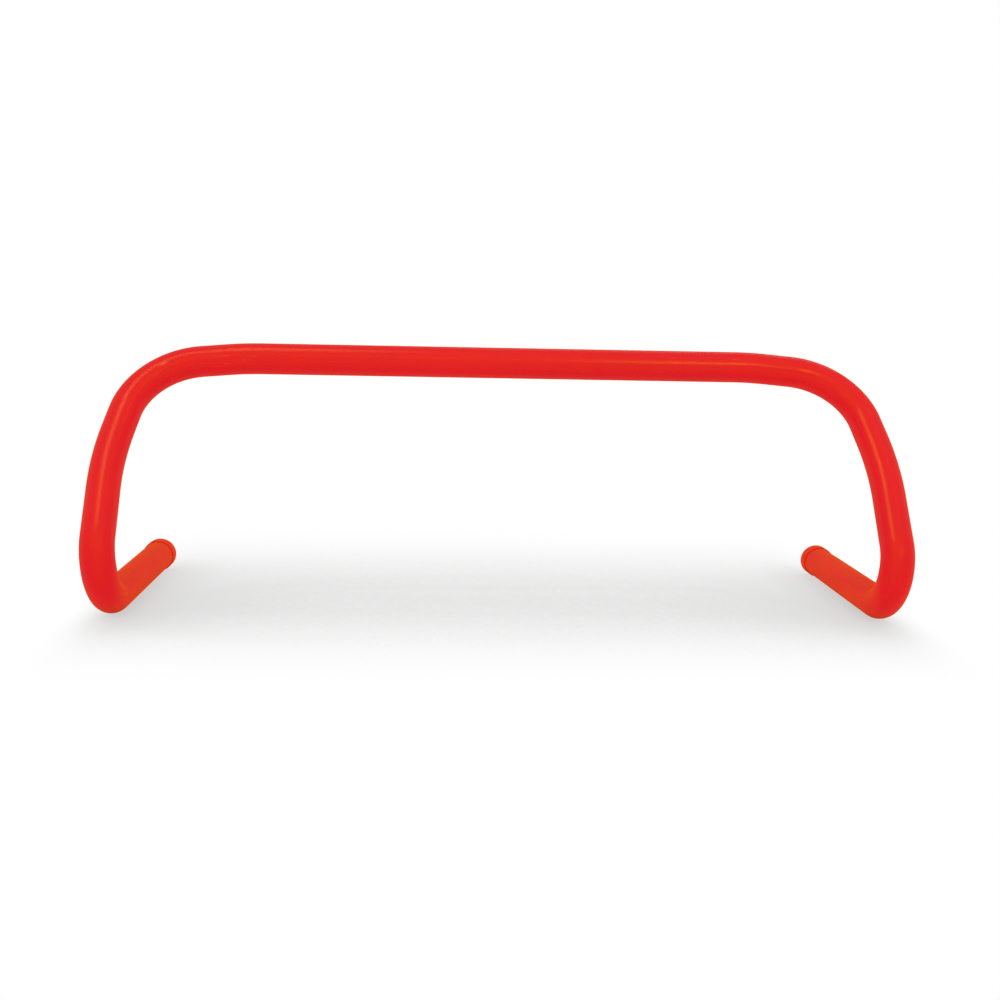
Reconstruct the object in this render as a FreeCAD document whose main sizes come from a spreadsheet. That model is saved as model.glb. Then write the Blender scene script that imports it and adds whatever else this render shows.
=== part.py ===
import FreeCAD, Part
import math
import os
import Sketcher

# A speed hurdle: one plastic tube bent to an arch that leans back, with its feet bent back
# along the floor and a soft slip-on cap on the end of each foot.
# Millimetres. X runs along the bar, Y from the heels to the ends of the feet, Z up from the floor.

SIZES = {
    # The tube's section
    "tube_od": "28",
    "tube_wall": "3",
    # The tube's axis, between the corners where its straight runs would meet
    "bar_span": "645",
    "bar_height": "210",
    "bar_dip": "8",
    "dip_run": "92",
    "lean_back": "180",
    "heel_span": "653",
    "foot_length": "248",
    "leg_bow": "13.4",
    # The bends, at the tube's axis
    "dip_radius": "360",
    "corner_radius": "66",
    "bow_radius": "300",
    "heel_radius": "33",
    # The caps
    "cap_skirt": "12",
    "cap_wall": "0.8",
    "cap_floor": "2",
    "cap_edge_radius": "2.4",
    "cap_rim_radius": "0.3",
    "cap_clearance": "0.05",
}
# How far up the leg, from the heel's corner to the bar's, it bows out
BOW_SHARE = 0.6
UP = FreeCAD.Vector(0, 0, 1)


def make_sheet(doc):
    """Put each driving dimension in a cell that has the dimension's name."""
    sheet = doc.addObject("Spreadsheet::Sheet", "Sizes")
    for row, (name, text) in enumerate(SIZES.items(), start=1):
        sheet.set(f"A{row}", name)
        sheet.set(f"B{row}", text)
        sheet.setAlias(f"B{row}", name)
    doc.recompute()
    return sheet


def bend_reach(before, corner, after, radius):
    """Length of straight run that a tangent arc takes up on each side of a corner."""
    turn = math.pi - (before - corner).getAngle(after - corner)
    return radius * math.tan(turn / 2)


def axis_corners(sheet):
    """Corners of the tube's axis, from the left foot's end to the right one's, and its bend radii.

    The bar dips a little towards its ends, so its corners begin gently. The axis is one tube radius above
    the floor where the heel's bend ends, and rises to a cap radius at the cap's rim, so heels and caps all
    stand on the floor.
    """
    tube_radius = sheet.tube_od / 2
    cap_step = sheet.cap_clearance + sheet.cap_wall
    half_bar = sheet.bar_span / 2
    dip = FreeCAD.Vector(half_bar - sheet.dip_run, sheet.lean_back, sheet.bar_height)
    bar_end = FreeCAD.Vector(half_bar, sheet.lean_back, sheet.bar_height - sheet.bar_dip)
    bow = FreeCAD.Vector(sheet.leg_bow, 0, 0)

    flat_heel = FreeCAD.Vector(sheet.heel_span / 2, 0, tube_radius)
    flat_toe = flat_heel + FreeCAD.Vector(0, sheet.foot_length, 0)
    flat_knee = flat_heel + (bar_end - flat_heel) * BOW_SHARE + bow
    heel_reach = bend_reach(flat_toe, flat_heel, flat_knee, sheet.heel_radius)
    slope = cap_step / (sheet.foot_length - sheet.cap_skirt - heel_reach)

    heel = flat_heel - UP * (slope * heel_reach)
    toe = heel + FreeCAD.Vector(0, sheet.foot_length, slope * sheet.foot_length)
    knee = heel + (bar_end - heel) * BOW_SHARE + bow
    right = [dip, bar_end, knee, heel, toe]
    left = [FreeCAD.Vector(-corner.x, corner.y, corner.z) for corner in reversed(right)]
    radii = [sheet.dip_radius, sheet.corner_radius, sheet.bow_radius, sheet.heel_radius]
    return left + right, radii[::-1] + radii


def bent_wire(corners, radii):
    """Straight runs between the corners, with a tangent arc at each corner between the two ends."""
    edges = []
    start = corners[0]
    for before, corner, after, radius in zip(corners, corners[1:], corners[2:], radii):
        reach = bend_reach(before, corner, after, radius)
        back = (before - corner).normalize()
        ahead = (after - corner).normalize()
        inward = (back + ahead).normalize()
        arc_start = corner + back * reach
        arc_end = corner + ahead * reach
        arc_middle = corner + inward * (math.hypot(radius, reach) - radius)
        edges.append(Part.LineSegment(start, arc_start).toShape())
        edges.append(Part.Arc(arc_start, arc_middle, arc_end).toShape())
        start = arc_end
    edges.append(Part.LineSegment(start, corners[-1]).toShape())
    return Part.Wire(edges)


def make_sweep(doc, name, path, start, radius_expression):
    """A solid round bar along the path, with its radius bound to the sheet."""
    circle = doc.addObject("Part::Circle", name + "_section")
    circle.setExpression("Radius", radius_expression)
    circle.Placement = start
    sweep = doc.addObject("Part::Sweep", name)
    sweep.Sections = [circle]
    sweep.Spine = (path, [])
    sweep.Solid = True
    return sweep


def make_tube(doc, corners, radii):
    """The whole bent tube: an outer sweep less the bore's sweep, both along one axis."""
    path = doc.addObject("Part::Feature", "tube_axis")
    path.Shape = bent_wire(corners, radii)
    start = FreeCAD.Placement(corners[0], FreeCAD.Rotation(UP, corners[1] - corners[0]))
    tube = doc.addObject("Part::Cut", "hurdle_tube")
    tube.Base = make_sweep(doc, "tube_outside", path, start, "Sizes.tube_od / 2")
    tube.Tool = make_sweep(doc, "tube_bore", path, start, "Sizes.tube_od / 2 - Sizes.tube_wall")
    tube.Label = "hurdle_tube"
    return tube, path


def draw_cap(sketch, sheet):
    """Half section of a cap, its axis upright and the tube's end face at height zero."""
    bore_radius = sheet.tube_od / 2 + sheet.cap_clearance
    outside_radius = bore_radius + sheet.cap_wall
    rim_radius = sheet.cap_rim_radius
    edge_radius = sheet.cap_edge_radius
    rim_centre = FreeCAD.Vector(outside_radius - rim_radius, rim_radius - sheet.cap_skirt, 0)
    edge_centre = FreeCAD.Vector(outside_radius - edge_radius, sheet.cap_floor - edge_radius, 0)
    middle = FreeCAD.Vector(0, 0, 0)
    seat = FreeCAD.Vector(bore_radius, 0, 0)
    mouth = FreeCAD.Vector(bore_radius, -sheet.cap_skirt, 0)
    rim_end = FreeCAD.Vector(rim_centre.x, -sheet.cap_skirt, 0)
    wall_start = FreeCAD.Vector(outside_radius, rim_centre.y, 0)
    wall_end = FreeCAD.Vector(outside_radius, edge_centre.y, 0)
    face_start = FreeCAD.Vector(edge_centre.x, sheet.cap_floor, 0)
    tip = FreeCAD.Vector(0, sheet.cap_floor, 0)
    floor, bore, rim, rim_arc, wall, edge_arc, face, axis = sketch.addGeometry([
        Part.LineSegment(middle, seat),
        Part.LineSegment(seat, mouth),
        Part.LineSegment(mouth, rim_end),
        Part.ArcOfCircle(Part.Circle(rim_centre, UP, rim_radius), -math.pi / 2, 0),
        Part.LineSegment(wall_start, wall_end),
        Part.ArcOfCircle(Part.Circle(edge_centre, UP, edge_radius), 0, math.pi / 2),
        Part.LineSegment(face_start, tip),
        Part.LineSegment(tip, middle),
    ], False)

    origin, start, end = -1, 1, 2
    for first, second in [(floor, bore), (bore, rim), (face, axis), (axis, floor)]:
        sketch.addConstraint(Sketcher.Constraint("Coincident", first, end, second, start))
    for first, second in [(rim, rim_arc), (rim_arc, wall), (wall, edge_arc), (edge_arc, face)]:
        sketch.addConstraint(Sketcher.Constraint("Tangent", first, end, second, start))
    sketch.addConstraint(Sketcher.Constraint("Coincident", floor, start, origin, start))
    for line in (floor, rim, face):
        sketch.addConstraint(Sketcher.Constraint("Horizontal", line))
    for line in (bore, wall, axis):
        sketch.addConstraint(Sketcher.Constraint("Vertical", line))

    def bind(name, expression, *constraint):
        index = sketch.addConstraint(Sketcher.Constraint(*constraint))
        sketch.renameConstraint(index, name)
        sketch.setExpression("Constraints." + name, expression)

    bind("bore_radius", "Sizes.tube_od / 2 + Sizes.cap_clearance",
         "DistanceX", floor, start, floor, end, bore_radius)
    bind("outside_radius", "Sizes.tube_od / 2 + Sizes.cap_clearance + Sizes.cap_wall",
         "DistanceX", floor, start, wall, end, outside_radius)
    bind("skirt_length", "Sizes.cap_skirt", "DistanceY", bore, end, bore, start, sheet.cap_skirt)
    bind("floor_thickness", "Sizes.cap_floor", "DistanceY", axis, end, axis, start, sheet.cap_floor)
    bind("rim_radius", "Sizes.cap_rim_radius", "Radius", rim_arc, rim_radius)
    bind("edge_radius", "Sizes.cap_edge_radius", "Radius", edge_arc, edge_radius)


def make_cap(doc, sheet, label, toe, outward):
    """A turned cap seated on the tube's end, its closed end facing outward."""
    body = doc.addObject("PartDesign::Body", label)
    plane = next(item for item in body.Origin.OriginFeatures if item.Role == "XZ_Plane")
    sketch = body.newObject("Sketcher::SketchObject", label + "_profile")
    sketch.AttachmentSupport = (plane, [""])
    sketch.MapMode = "FlatFace"
    draw_cap(sketch, sheet)
    turned = body.newObject("PartDesign::Revolution", label + "_turned")
    turned.Profile = sketch
    turned.ReferenceAxis = (sketch, ["V_Axis"])
    body.Placement = FreeCAD.Placement(toe, FreeCAD.Rotation(UP, outward))
    body.Label = label
    return body


def check_objects(doc, parts):
    """Stop if any object failed or any piece isn't one sound solid."""
    for item in doc.Objects:
        if "Invalid" in item.State or "Error" in item.State:
            raise RuntimeError(f"{item.Label} failed: {item.State}")
    for part in parts:
        if part.Shape.isNull() or not part.Shape.isValid() or len(part.Shape.Solids) != 1:
            raise RuntimeError(f"{part.Label} isn't one sound solid")


def main():
    doc = FreeCAD.newDocument("speed_hurdle")
    sheet = make_sheet(doc)
    corners, radii = axis_corners(sheet)
    tube, path = make_tube(doc, corners, radii)
    toes = {"left_end_cap": corners[:2], "right_end_cap": corners[:-3:-1]}
    caps = [make_cap(doc, sheet, label, toe, toe - heel) for label, (toe, heel) in toes.items()]
    doc.recompute()

    # The origin is on the floor, half way between the front of the heels and the ends of the caps.
    front = path.Shape.BoundBox.YMin - sheet.tube_od / 2
    back = corners[0].y + sheet.cap_floor
    to_middle = FreeCAD.Placement(FreeCAD.Vector(0, -(front + back) / 2, 0), FreeCAD.Rotation())
    parts = [tube, *caps]
    for part in parts:
        part.Placement = to_middle.multiply(part.Placement)
    doc.recompute()

    check_objects(doc, parts)
    section = math.pi * sheet.tube_wall * (sheet.tube_od - sheet.tube_wall)
    print("axis length", round(path.Shape.Length, 1), "tube volume", round(tube.Shape.Volume),
          "section times length", round(section * path.Shape.Length))
    os.makedirs("parts", exist_ok=True)
    for part in parts:
        part.Shape.exportStep(f"parts/{part.Label}.step")


main()
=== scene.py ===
import bpy
import bmesh
import math
import mathutils
from collections import namedtuple
from mathutils import Matrix, Vector


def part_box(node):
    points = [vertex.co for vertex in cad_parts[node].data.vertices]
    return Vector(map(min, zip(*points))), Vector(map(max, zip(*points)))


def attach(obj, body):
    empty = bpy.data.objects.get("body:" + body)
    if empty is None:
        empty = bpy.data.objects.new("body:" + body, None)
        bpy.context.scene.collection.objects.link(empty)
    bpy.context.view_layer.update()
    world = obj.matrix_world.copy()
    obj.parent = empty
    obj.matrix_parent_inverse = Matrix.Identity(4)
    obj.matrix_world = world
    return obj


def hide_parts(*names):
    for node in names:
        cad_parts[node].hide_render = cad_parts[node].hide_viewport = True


# The looks of a speed hurdle: one bent plastic tube with a soft cap on the end of each foot.
# Metres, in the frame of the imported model: X along the bar, Y from the heels to the caps, Z up.

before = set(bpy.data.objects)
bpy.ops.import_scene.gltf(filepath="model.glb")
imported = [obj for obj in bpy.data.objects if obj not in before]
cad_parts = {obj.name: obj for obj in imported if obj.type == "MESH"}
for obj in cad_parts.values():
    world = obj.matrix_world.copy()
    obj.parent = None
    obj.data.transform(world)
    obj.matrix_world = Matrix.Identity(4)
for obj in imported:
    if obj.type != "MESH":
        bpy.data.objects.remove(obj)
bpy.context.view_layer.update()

Station = namedtuple("Station", "centre along run flat inward")
Pattern = namedtuple("Pattern", "repeats detail")
Softbox = namedtuple("Softbox", "name place aim size radiance spread")

UP = Vector((0, 0, 1))
WHITE = (1, 1, 1, 1)
RISING = (0, 1)
FALLING = (1, 0)

# The tube's section and axis
TUBE_RADIUS = 0.014
TUBE_WALL = 0.003
BAR_SPAN = 0.645
BAR_HEIGHT = 0.210
BAR_DIP = 0.008
DIP_RUN = 0.092
LEAN_BACK = 0.180
HEEL_SPAN = 0.653
FOOT_LENGTH = 0.248
LEG_BOW = 0.0134
BOW_SHARE = 0.6
DIP_RADIUS = 0.360
CORNER_RADIUS = 0.066
BOW_RADIUS = 0.300
HEEL_RADIUS = 0.033
CAP_STEP = 0.00085
CAP_SKIRT = 0.012

# How far the tight bends flatten the tube in their plane, and how much of that it widens across them.
# The dips of the bar and the bows of the legs are too gentle to flatten it.
CORNER_FLAT_SHARE = 0.015
HEEL_FLAT_SHARE = 0.035
WIDEN_SHARE = 0.5

# The skin lies just inside the solid tube, and is a little uneven, as a tube bent by hand is
SKIN_INSET = 0.00008
RIPPLE_HEIGHT = 0.00005
RIPPLE_LENGTH = 0.035

# The mesh
ROUND_STEPS = 72
STRAIGHT_STEP = 0.006
BEND_STEP = 0.003
BORE_STRIDE = 2
CUT_CHAMFER = 0.0003
SHARP_ANGLE = math.radians(35)

# Colours of the tube's plastic
TUBE_RED = (0.76, 0.0035, 0.0165, 1)
TUBE_DEEP = (0.73, 0.0028, 0.0165, 1)
TUBE_LIGHT = (0.785, 0.0070, 0.018, 1)
# The feet's orange is a painted reflection: it stands in for part of the grazing reflection of the bright
# surroundings on the feet.
FOOT_REFLECTION_ORANGE = (0.78, 0.016, 0.013, 1)
FOOT_REFLECTION_RED = (0.75, 0.008, 0.014, 1)
# Pale for the scratches, and for the rubbed patch on the left corner, where the pale also paints a glint
# in the highlight.
SCRATCH_AND_GLINT_PALE = (0.85, 0.12, 0.07, 1)
# A dark brown along the bottom of the tube, next to the floor.
BOTTOM_BROWN = (0.16, 0.06, 0.035, 1)

# Noise in the tube's plastic. Repeats are to the metre, along the tube and across it.
MOTTLE = Pattern(repeats=(18, 45, 45), detail=3)
DRAWN = Pattern(repeats=(4, 420, 420), detail=2)
PEEL = Pattern(repeats=(700, 700, 700), detail=1)
SCRATCHES = Pattern(repeats=(14, 240, 240), detail=1)
SPARSE = Pattern(repeats=(11, 60, 60), detail=2)
NOISE_MIDDLE = 0.5

# The part of the noise's range over which each feature sets in
CLOUD_RANGE = (0.35, 0.65)
DRAWN_RANGE = (0.5, 0.75)
SPARSE_RANGE = (0.58, 0.66)
SCUFF_GLINT_RANGE = (0.3, 0.5)
BOTTOM_BROWN_RANGE = (0.35, 0.6)
ROUGH_RANGE = (0.3, 0.7)
SCRATCH_RANGE = (0, 0.02)

# How strongly each feature shows in the colour
DRAWN_SHARE = 0.5
SCRATCH_SHARE = 0.12
SCUFF_GLINT_SHARE = 0.55
BOTTOM_BROWN_SHARE = 0.7

# Where the painted orange reflection on the feet sets in, the rubbed patch with a painted glint on the
# left corner, and how high the dark brown along the bottom reaches
FOOT_REFLECTION_RUN = (0.531, 0.549)
FOOT_REFLECTION_SLANT = 2.3
SCUFF_GLINT_PLACE = (-0.3035, 0.0070, 0.0121)
SCUFF_GLINT_STRETCH = (150, 480, 480)
SCUFF_GLINT_EDGE = (0.2, 1)
BOTTOM_BROWN_HEIGHT = 0.004

# Gloss, sheen and relief of the tube and the caps
SPEC_TINT = (0.8, 0.6, 0.0, 1)
SHEEN_TINT = (1, 0.35, 0.03, 1)
SHEEN_WEIGHT = 0.4
SHEEN_ROUGHNESS = 0.45
TUBE_GLOSS = 0.33
CAP_GLOSS = 0.25
GLOSS_POWER = 3.0
RIM_FADE = (0.1, 0.75)
TUBE_ROUGHNESS = (0.17, 0.25)
WORN_ROUGHNESS = 0.22
PEEL_DEPTH = 0.000006
DRAWN_RELIEF = 0.6
WORN_RELIEF = 0.4

# The caps' vinyl
CAP_ORANGE = (0.80, 0.020, 0.013, 1)
CAP_RED = (0.77, 0.012, 0.013, 1)
CAP_MOTTLE = Pattern(repeats=(160, 160, 160), detail=3)
CAP_GRAIN = Pattern(repeats=(1300, 1300, 1300), detail=2)
CAP_ROUGHNESS = (0.33, 0.46)
CAP_GRAIN_DEPTH = 0.00002

# The surroundings, which are white to look at and light the object from the front and from behind
SEEN_STRENGTH = 1.0
AMBIENT = (1.11, 0.88)
AMBIENT_TURN = (-1.0, 1.0)

# The floor, its wide soft shadow and the darker one close to the tube, which is tinted warm as painted
# red light thrown back from the tube
FLOOR_WHITE = (0.95, 0.95, 0.95, 1)
FLOOR_HALF = 6.0
SHADOW_GREY = (0.737, 0.733, 0.731, 1)
SHADOW_REACH = 0.45
SHADOW_SOFTNESS = 0.03
SHADOW_SIDE = (0.31, 0.364)
SHADOW_FRONT = (-0.28, -0.04)
SHADOW_BACK = (-0.04, 0.37)
SHADOW_RAYS = 24
# Warm tint: painted red light thrown back from the tube onto the floor.
CONTACT_GREY = (0.575, 0.52, 0.51, 1)
CONTACT_REACH = 0.045

# The lamps, which show only in the gloss
OPEN_SPREAD = math.radians(180)
NARROW_SPREAD = math.radians(40)
SOFTBOXES = [
    Softbox(name="broad_box", place=(0, -0.75, 1.4), aim=(0, 0, 0.1),
            size=(3.0, 1.9), radiance=0.8, spread=OPEN_SPREAD),
    Softbox(name="left_box", place=(-0.45, -0.2, 1.5), aim=(-0.3, 0, 0.15),
            size=(0.5, 0.55), radiance=5.0, spread=OPEN_SPREAD),
    Softbox(name="right_box", place=(0.45, -1.0, 0.8), aim=(0.2, 0.04, 0.2),
            size=(0.3, 0.35), radiance=0.26, spread=NARROW_SPREAD),
    Softbox(name="back_box", place=(0.5, 1.2, 1.2), aim=(0, 0, 0.1),
            size=(1.2, 0.5), radiance=3.5, spread=OPEN_SPREAD),
]

# The camera, found from the outline in the photograph
LENS_MM = 42.970
SENSOR_MM = 36.0
CAMERA_PLACE = Vector((-0.05497, -1.05756, 0.25945))
CAMERA_YAW = math.radians(3.002)
CAMERA_PITCH = math.radians(9.119)
CAMERA_ROLL = math.radians(-1.170)


def bend_reach(before, corner, after, radius):
    """Length of straight run that a bend takes up on each side of its corner."""
    turn = math.pi - (before - corner).angle(after - corner)
    return radius * math.tan(turn / 2)


def half_axis():
    """Corners of the tube's axis from the middle of the bar to the end of the right foot."""
    middle = Vector((0, LEAN_BACK, BAR_HEIGHT))
    dip = Vector((BAR_SPAN / 2 - DIP_RUN, LEAN_BACK, BAR_HEIGHT))
    bar_end = Vector((BAR_SPAN / 2, LEAN_BACK, BAR_HEIGHT - BAR_DIP))
    bow = Vector((LEG_BOW, 0, 0))
    flat_heel = Vector((HEEL_SPAN / 2, 0, TUBE_RADIUS))
    flat_toe = flat_heel + Vector((0, FOOT_LENGTH, 0))
    flat_knee = flat_heel + (bar_end - flat_heel) * BOW_SHARE + bow
    heel_reach = bend_reach(flat_toe, flat_heel, flat_knee, HEEL_RADIUS)
    slope = CAP_STEP / (FOOT_LENGTH - CAP_SKIRT - heel_reach)
    heel = flat_heel - UP * (slope * heel_reach)
    toe = heel + Vector((0, FOOT_LENGTH, slope * FOOT_LENGTH))
    knee = heel + (bar_end - heel) * BOW_SHARE + bow
    end_face_back = toe.y + TUBE_RADIUS * math.sin(math.atan(slope))
    to_frame = Vector((0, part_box("hurdle_tube")[1].y - end_face_back, 0))
    return [corner + to_frame for corner in (middle, dip, bar_end, knee, heel, toe)]


def stations(corners, radii, flats):
    """Places along the axis, close together in the bends, with the flattening at each."""
    found = []
    start = corners[0]
    run = 0

    def add_line(end):
        nonlocal run
        length = (end - start).length
        steps = math.ceil(length / STRAIGHT_STEP)
        along = (end - start).normalized()
        for step in range(steps):
            gone = length * step / steps
            found.append(Station(start + along * gone, along, run + gone, 0, Vector()))
        run += length

    for before, corner, after, radius, flat in zip(corners, corners[1:], corners[2:], radii, flats):
        reach = bend_reach(before, corner, after, radius)
        back = (before - corner).normalized()
        ahead = (after - corner).normalized()
        add_line(corner + back * reach)
        turn = math.pi - back.angle(ahead)
        centre = corner + (back + ahead).normalized() * math.hypot(radius, reach)
        axle = ahead.cross(back).normalized()
        spoke = corner + back * reach - centre
        steps = math.ceil(radius * turn / BEND_STEP)
        for step in range(steps):
            share = step / steps
            spin = Matrix.Rotation(turn * share, 3, axle)
            squeeze = flat * math.sin(math.pi * share) ** 2
            found.append(Station(centre + spin @ spoke, spin @ -back, run + radius * turn * share,
                                 squeeze, -(spin @ spoke).normalized()))
        run += radius * turn
        start = corner + ahead * reach
    add_line(corners[-1])
    along = (corners[-1] - start).normalized()
    found.append(Station(corners[-1], along, run, 0, Vector()))
    return found


def ring_axes(places):
    """For each station, what is up and what is to the front on the bar, carried along without twist."""
    axes = []
    crest = UP
    before = places[0].along
    for place in places:
        crest = before.rotation_difference(place.along) @ crest
        axes.append((crest.copy(), place.along.cross(crest)))
        before = place.along
    return axes


def ring(side, place, crest, front, radius, shift):
    """Points of one ring on one side, and where they lay on the straight tube before it was bent."""
    across = place.along.cross(place.inward)
    points = []
    unbent = []
    for step in range(ROUND_STEPS):
        angle = 2 * math.pi * step / ROUND_STEPS
        spoke = crest * math.cos(angle) + front * math.sin(angle)
        pressed = spoke - place.inward * spoke.dot(place.inward) * place.flat
        pressed += across * spoke.dot(across) * place.flat * WIDEN_SHARE
        run = side * (place.run + shift)
        hill = mathutils.noise.noise(Vector((run / RIPPLE_LENGTH, math.cos(angle), math.sin(angle))))
        point = place.centre + place.along * shift + pressed * (radius + hill * RIPPLE_HEIGHT)
        points.append(Vector((side * point.x, point.y, point.z)))
        unbent.append(Vector((run, radius * math.cos(angle), radius * math.sin(angle))))
    return points, unbent


def half_rings(side, places, axes):
    """Rings of one half: along the outside, over the cut end, and back along the bore."""
    skin_radius = TUBE_RADIUS - SKIN_INSET
    bore_radius = TUBE_RADIUS - TUBE_WALL
    last = places[-1]
    outside = [ring(side, place, *pair, skin_radius, 0) for place, pair in zip(places[:-1], axes)]
    lip = [
        ring(side, last, *axes[-1], skin_radius, -CUT_CHAMFER),
        ring(side, last, *axes[-1], skin_radius - CUT_CHAMFER, 0),
        ring(side, last, *axes[-1], bore_radius + CUT_CHAMFER, 0),
        ring(side, last, *axes[-1], bore_radius, -CUT_CHAMFER),
    ]
    strided = zip(places[:-1:BORE_STRIDE], axes[::BORE_STRIDE])
    bore = [ring(side, place, *pair, bore_radius, 0) for place, pair in strided]
    return outside + lip + bore[::-1]


def tube_mesh():
    """One closed hollow tube. The two halves share their rings at the middle of the bar."""
    radii = [DIP_RADIUS, CORNER_RADIUS, BOW_RADIUS, HEEL_RADIUS]
    flats = [0, CORNER_FLAT_SHARE, 0, HEEL_FLAT_SHARE]
    places = stations(half_axis(), radii, flats)
    axes = ring_axes(places)
    loop = half_rings(1, places, axes) + half_rings(-1, places, axes)[-2:0:-1]
    mesh = bpy.data.meshes.new("tube")
    work = bmesh.new()
    unbent_layer = work.verts.layers.float_vector.new("unbent")
    rows = []
    for points, unbent in loop:
        row = []
        for point, straight in zip(points, unbent):
            vertex = work.verts.new(point)
            vertex[unbent_layer] = straight
            row.append(vertex)
        rows.append(row)
    for row, other in zip(rows, rows[1:] + rows[:1]):
        for step in range(ROUND_STEPS):
            beyond = (step + 1) % ROUND_STEPS
            face = work.faces.new((row[step], row[beyond], other[beyond], other[step]))
            face.smooth = True
    bmesh.ops.recalc_face_normals(work, faces=work.faces)
    work.to_mesh(mesh)
    work.free()
    mesh.set_sharp_from_angle(angle=SHARP_ANGLE)
    return mesh


def blank_material(name):
    """A new material with one shader, and its node tree."""
    material = bpy.data.materials.new(name)
    material.use_nodes = True
    tree = material.node_tree
    tree.nodes.clear()
    shader = tree.nodes.new("ShaderNodeBsdfPrincipled")
    output = tree.nodes.new("ShaderNodeOutputMaterial")
    tree.links.new(shader.outputs["BSDF"], output.inputs["Surface"])
    return material, tree, shader


def feed(tree, target, value):
    """Link a socket to an input, or set a constant on it."""
    if isinstance(value, bpy.types.NodeSocket):
        tree.links.new(value, target)
    else:
        target.default_value = value


def calc(tree, operation, first, second=0.0):
    """One step of arithmetic on values."""
    node = tree.nodes.new("ShaderNodeMath")
    node.operation = operation
    feed(tree, node.inputs[0], first)
    feed(tree, node.inputs[1], second)
    return node.outputs["Value"]


def times(tree, first, second):
    """The product of two values."""
    return calc(tree, "MULTIPLY", first, second)


def rest_of(tree, share):
    """What a share leaves of the whole."""
    return calc(tree, "SUBTRACT", 1.0, share)


def move(tree, operation, place, amount):
    """One step of arithmetic on a place."""
    node = tree.nodes.new("ShaderNodeVectorMath")
    node.operation = operation
    tree.links.new(place, node.inputs[0])
    node.inputs[1].default_value = amount
    return node.outputs["Vector"]


def distance_from(tree, place, centre, stretch):
    """How far a place is from a centre, with each axis stretched."""
    node = tree.nodes.new("ShaderNodeVectorMath")
    node.operation = "LENGTH"
    offset = move(tree, "SUBTRACT", place, centre)
    tree.links.new(move(tree, "MULTIPLY", offset, stretch), node.inputs[0])
    return node.outputs["Value"]


def split(tree, place):
    """The three parts of a place."""
    node = tree.nodes.new("ShaderNodeSeparateXYZ")
    tree.links.new(place, node.inputs["Vector"])
    return tuple(node.outputs)


def mapped(tree, value, source, target=RISING):
    """A value's range moved smoothly to another one, which ends where the range does."""
    node = tree.nodes.new("ShaderNodeMapRange")
    node.interpolation_type = "SMOOTHSTEP"
    feed(tree, node.inputs["Value"], value)
    for name, number in zip(("From Min", "From Max", "To Min", "To Max"), (*source, *target)):
        node.inputs[name].default_value = number
    return node.outputs["Result"]


def noise(tree, place, pattern):
    """Noise with so many repeats to the metre along each axis of a place."""
    node = tree.nodes.new("ShaderNodeTexNoise")
    node.inputs["Scale"].default_value = 1
    node.inputs["Detail"].default_value = pattern.detail
    tree.links.new(move(tree, "MULTIPLY", place, pattern.repeats), node.inputs["Vector"])
    return node.outputs["Fac"]


def mixed(tree, share, first, second):
    """A colour between two colours."""
    node = tree.nodes.new("ShaderNodeMix")
    node.data_type = "RGBA"
    colours = {socket.name: socket for socket in node.inputs if socket.type == "RGBA"}
    feed(tree, node.inputs["Factor"], share)
    feed(tree, colours["A"], first)
    feed(tree, colours["B"], second)
    return next(socket for socket in node.outputs if socket.type == "RGBA")


def even_gloss(tree, level):
    """A gloss that doesn't whiten towards the outline."""
    facing = rest_of(tree, tree.nodes.new("ShaderNodeLayerWeight").outputs["Facing"])
    even = times(tree, calc(tree, "POWER", facing, GLOSS_POWER), mapped(tree, facing, RIM_FADE))
    return times(tree, even, level)


def add_bump(tree, shader, height, depth):
    """Fine relief, as deep as said where the height is one."""
    bump = tree.nodes.new("ShaderNodeBump")
    bump.inputs["Distance"].default_value = depth
    tree.links.new(height, bump.inputs["Height"])
    tree.links.new(bump.outputs["Normal"], shader.inputs["Normal"])


def add_sheen(shader):
    """Reflections in a warm tone, and a faint orange bloom along the outline."""
    shader.inputs["Specular Tint"].default_value = SPEC_TINT
    shader.inputs["Sheen Weight"].default_value = SHEEN_WEIGHT
    shader.inputs["Sheen Roughness"].default_value = SHEEN_ROUGHNESS
    shader.inputs["Sheen Tint"].default_value = SHEEN_TINT


def tube_wear(tree, place, mottle, drawn):
    """Faint scratches along the tube, a rubbed patch on the left corner whose pale colour also paints a
    glint, and dark brown along the bottom next to the floor.
    """
    line = calc(tree, "ABSOLUTE", calc(tree, "SUBTRACT", noise(tree, place, SCRATCHES), NOISE_MIDDLE))
    sparse = mapped(tree, noise(tree, place, SPARSE), SPARSE_RANGE)
    scratch = times(tree, mapped(tree, line, SCRATCH_RANGE, FALLING), sparse)
    # A rubbed patch on the left corner, rougher, whose pale colour also paints a glint in the highlight
    # there.
    spot = distance_from(tree, place, SCUFF_GLINT_PLACE, SCUFF_GLINT_STRETCH)
    scuff_glint = mapped(tree, spot, SCUFF_GLINT_EDGE, (SCUFF_GLINT_SHARE, 0))
    scuff_glint = times(tree, scuff_glint, mapped(tree, drawn, SCUFF_GLINT_RANGE))
    # Darker brown along the bottom few millimetres of the tube, next to the floor.
    height = split(tree, tree.nodes.new("ShaderNodeTexCoord").outputs["Object"])[2]
    bottom_brown = mapped(tree, height, (0, BOTTOM_BROWN_HEIGHT), (BOTTOM_BROWN_SHARE, 0))
    bottom_brown = times(tree, bottom_brown, mapped(tree, mottle, BOTTOM_BROWN_RANGE))
    return scratch, scuff_glint, bottom_brown


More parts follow.
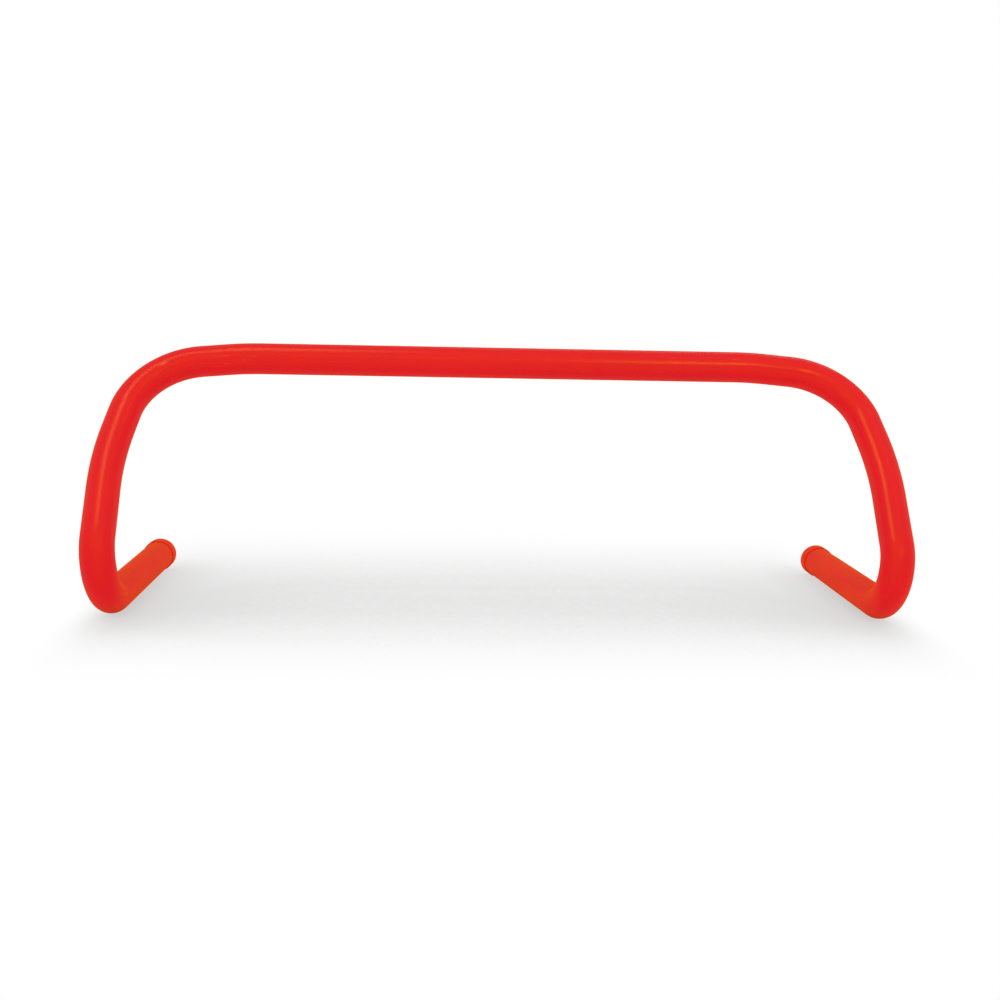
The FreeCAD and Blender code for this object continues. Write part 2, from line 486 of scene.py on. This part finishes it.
def tube_material():
    """Red plastic, mottled and drawn out along the tube, with a painted orange reflection on the feet,
    and light wear.
    """
    material, tree, shader = blank_material("tube_plastic")
    attribute = tree.nodes.new("ShaderNodeAttribute")
    attribute.attribute_name = "unbent"
    place = attribute.outputs["Vector"]
    run, crest, _ = split(tree, place)
    # Painted reflection: the feet turn orange along the run, with the edge slanted around the tube.
    slanted = calc(tree, "SUBTRACT", calc(tree, "ABSOLUTE", run), times(tree, crest, FOOT_REFLECTION_SLANT))
    foot_reflection = mapped(tree, slanted, FOOT_REFLECTION_RUN)
    mottle = noise(tree, place, MOTTLE)
    drawn = noise(tree, place, DRAWN)
    clouds = mapped(tree, mottle, CLOUD_RANGE)
    scratch, scuff_glint, bottom_brown = tube_wear(tree, place, mottle, drawn)
    pale = calc(tree, "MAXIMUM", times(tree, scratch, SCRATCH_SHARE), scuff_glint)
    worn = calc(tree, "MAXIMUM", scratch, calc(tree, "MAXIMUM", scuff_glint, bottom_brown))

    colour = mixed(tree, clouds, TUBE_RED, TUBE_DEEP)
    colour = mixed(tree, mapped(tree, drawn, DRAWN_RANGE, (0, DRAWN_SHARE)), colour, TUBE_LIGHT)
    # Mix in the painted orange reflection on the feet.
    colour = mixed(tree, foot_reflection, colour, mixed(tree, clouds, FOOT_REFLECTION_ORANGE, FOOT_REFLECTION_RED))
    # Pale scratches, and the painted glint on the rubbed patch of the left corner.
    colour = mixed(tree, pale, colour, SCRATCH_AND_GLINT_PALE)
    colour = mixed(tree, bottom_brown, colour, BOTTOM_BROWN)
    tree.links.new(colour, shader.inputs["Base Color"])

    roughness = mapped(tree, mottle, ROUGH_RANGE, TUBE_ROUGHNESS)
    roughness = calc(tree, "ADD", roughness, times(tree, worn, WORN_ROUGHNESS))
    tree.links.new(roughness, shader.inputs["Roughness"])
    tree.links.new(even_gloss(tree, TUBE_GLOSS), shader.inputs["Specular IOR Level"])
    add_sheen(shader)
    relief = calc(tree, "ADD", noise(tree, place, PEEL), times(tree, drawn, DRAWN_RELIEF))
    relief = calc(tree, "SUBTRACT", relief, times(tree, worn, WORN_RELIEF))
    add_bump(tree, shader, relief, PEEL_DEPTH)
    return material


def cap_material():
    """Softer vinyl, dipped, with a fine grain."""
    material, tree, shader = blank_material("cap_vinyl")
    place = tree.nodes.new("ShaderNodeTexCoord").outputs["Object"]
    mottle = noise(tree, place, CAP_MOTTLE)
    clouds = mapped(tree, mottle, CLOUD_RANGE)
    tree.links.new(mixed(tree, clouds, CAP_ORANGE, CAP_RED), shader.inputs["Base Color"])
    tree.links.new(mapped(tree, mottle, ROUGH_RANGE, CAP_ROUGHNESS), shader.inputs["Roughness"])
    tree.links.new(even_gloss(tree, CAP_GLOSS), shader.inputs["Specular IOR Level"])
    add_sheen(shader)
    add_bump(tree, shader, noise(tree, place, CAP_GRAIN), CAP_GRAIN_DEPTH)
    return material


def white_rays(tree):
    """One for rays that see the white surroundings: from the camera, a gloss or glass."""
    path = tree.nodes.new("ShaderNodeLightPath")
    total = path.outputs["Is Camera Ray"]
    for name in ("Is Glossy Ray", "Is Transmission Ray"):
        total = calc(tree, "MAXIMUM", total, path.outputs[name])
    return total


def seen_or_lit(tree, seen, lit, output):
    """Show one shader to the rays that look at the surroundings, and another to all the rest."""
    mix = tree.nodes.new("ShaderNodeMixShader")
    tree.links.new(white_rays(tree), mix.inputs["Fac"])
    tree.links.new(lit, mix.inputs[1])
    tree.links.new(seen, mix.inputs[2])
    tree.links.new(mix.outputs["Shader"], tree.nodes.new(output).inputs["Surface"])


def make_world():
    """White surroundings, which light the object more from the front than from behind."""
    world = bpy.data.worlds.new("studio")
    world.use_nodes = True
    tree = world.node_tree
    tree.nodes.clear()
    seen = tree.nodes.new("ShaderNodeBackground")
    seen.inputs["Color"].default_value = WHITE
    seen.inputs["Strength"].default_value = SEEN_STRENGTH
    ambient = tree.nodes.new("ShaderNodeBackground")
    ambient.inputs["Color"].default_value = WHITE
    backwards = split(tree, tree.nodes.new("ShaderNodeTexCoord").outputs["Generated"])[1]
    tree.links.new(mapped(tree, backwards, AMBIENT_TURN, AMBIENT), ambient.inputs["Strength"])
    seen_or_lit(tree, seen.outputs["Background"], ambient.outputs["Background"], "ShaderNodeOutputWorld")
    bpy.context.scene.world = world


def hidden_share(tree, reach):
    """How much of the sky over a place is hidden by what lies within reach."""
    occlusion = tree.nodes.new("ShaderNodeAmbientOcclusion")
    occlusion.samples = SHADOW_RAYS
    occlusion.inputs["Distance"].default_value = reach
    return rest_of(tree, occlusion.outputs["AO"])


def floor_colour(tree):
    """White, with a wide soft shadow that dies away to all sides, and a darker one close to the tube."""
    across, along, _ = split(tree, tree.nodes.new("ShaderNodeTexCoord").outputs["Object"])
    kept = mapped(tree, calc(tree, "ABSOLUTE", across), SHADOW_SIDE, FALLING)
    kept = times(tree, kept, mapped(tree, along, SHADOW_FRONT))
    kept = times(tree, kept, mapped(tree, along, SHADOW_BACK, FALLING))
    depth = calc(tree, "DIVIDE", hidden_share(tree, SHADOW_REACH), -SHADOW_SOFTNESS)
    shade = times(tree, rest_of(tree, calc(tree, "EXPONENT", depth)), kept)
    contact = times(tree, hidden_share(tree, CONTACT_REACH), kept)
    return mixed(tree, contact, mixed(tree, shade, WHITE, SHADOW_GREY), CONTACT_GREY)


def make_floor():
    """A white floor that keeps the soft shadow of what stands over it."""
    material = bpy.data.materials.new("floor_white")
    material.use_nodes = True
    tree = material.node_tree
    tree.nodes.clear()
    diffuse = tree.nodes.new("ShaderNodeBsdfDiffuse")
    diffuse.inputs["Color"].default_value = FLOOR_WHITE
    seen = tree.nodes.new("ShaderNodeEmission")
    tree.links.new(floor_colour(tree), seen.inputs["Color"])
    seen_or_lit(tree, seen.outputs["Emission"], diffuse.outputs["BSDF"], "ShaderNodeOutputMaterial")
    corners = [(x * FLOOR_HALF, y * FLOOR_HALF, 0) for x, y in ((-1, -1), (1, -1), (1, 1), (-1, 1))]
    mesh = bpy.data.meshes.new("floor")
    mesh.from_pydata(corners, [], [range(len(corners))])
    mesh.materials.append(material)
    floor = bpy.data.objects.new("floor", mesh)
    bpy.context.scene.collection.objects.link(floor)


def make_softbox(box):
    """A rectangular lamp of even brightness, turned to its aim, which only a gloss shows."""
    lamp = bpy.data.lights.new(box.name, "AREA")
    lamp.shape = "RECTANGLE"
    lamp.size, lamp.size_y = box.size
    lamp.energy = box.radiance * math.pi * lamp.size * lamp.size_y
    lamp.spread = box.spread
    holder = bpy.data.objects.new(box.name, lamp)
    holder.location = box.place
    holder.rotation_euler = (Vector(box.aim) - Vector(box.place)).to_track_quat("-Z", "Y").to_euler()
    holder.visible_diffuse = False
    bpy.context.scene.collection.objects.link(holder)


def make_camera():
    """A camera that stands and looks as the photograph's did."""
    camera = bpy.data.cameras.new("camera")
    camera.lens = LENS_MM
    camera.sensor_width = SENSOR_MM
    holder = bpy.data.objects.new("camera", camera)
    upright = math.pi / 2 - CAMERA_PITCH
    turn = Matrix.Rotation(-CAMERA_YAW, 4, "Z") @ Matrix.Rotation(upright, 4, "X")
    holder.matrix_world = Matrix.Translation(CAMERA_PLACE) @ turn @ Matrix.Rotation(-CAMERA_ROLL, 4, "Z")
    bpy.context.scene.collection.objects.link(holder)
    bpy.context.scene.camera = holder


tube = bpy.data.objects.new("tube_skin", tube_mesh())
tube.data.materials.append(tube_material())
bpy.context.scene.collection.objects.link(tube)
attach(tube, "tube")
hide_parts("hurdle_tube")

vinyl = cap_material()
for name in ("left_end_cap", "right_end_cap"):
    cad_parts[name].data.materials[0] = vinyl

make_world()
make_floor()
for softbox in SOFTBOXES:
    make_softbox(softbox)
make_camera()
bpy.context.scene.view_settings.view_transform = "Standard"
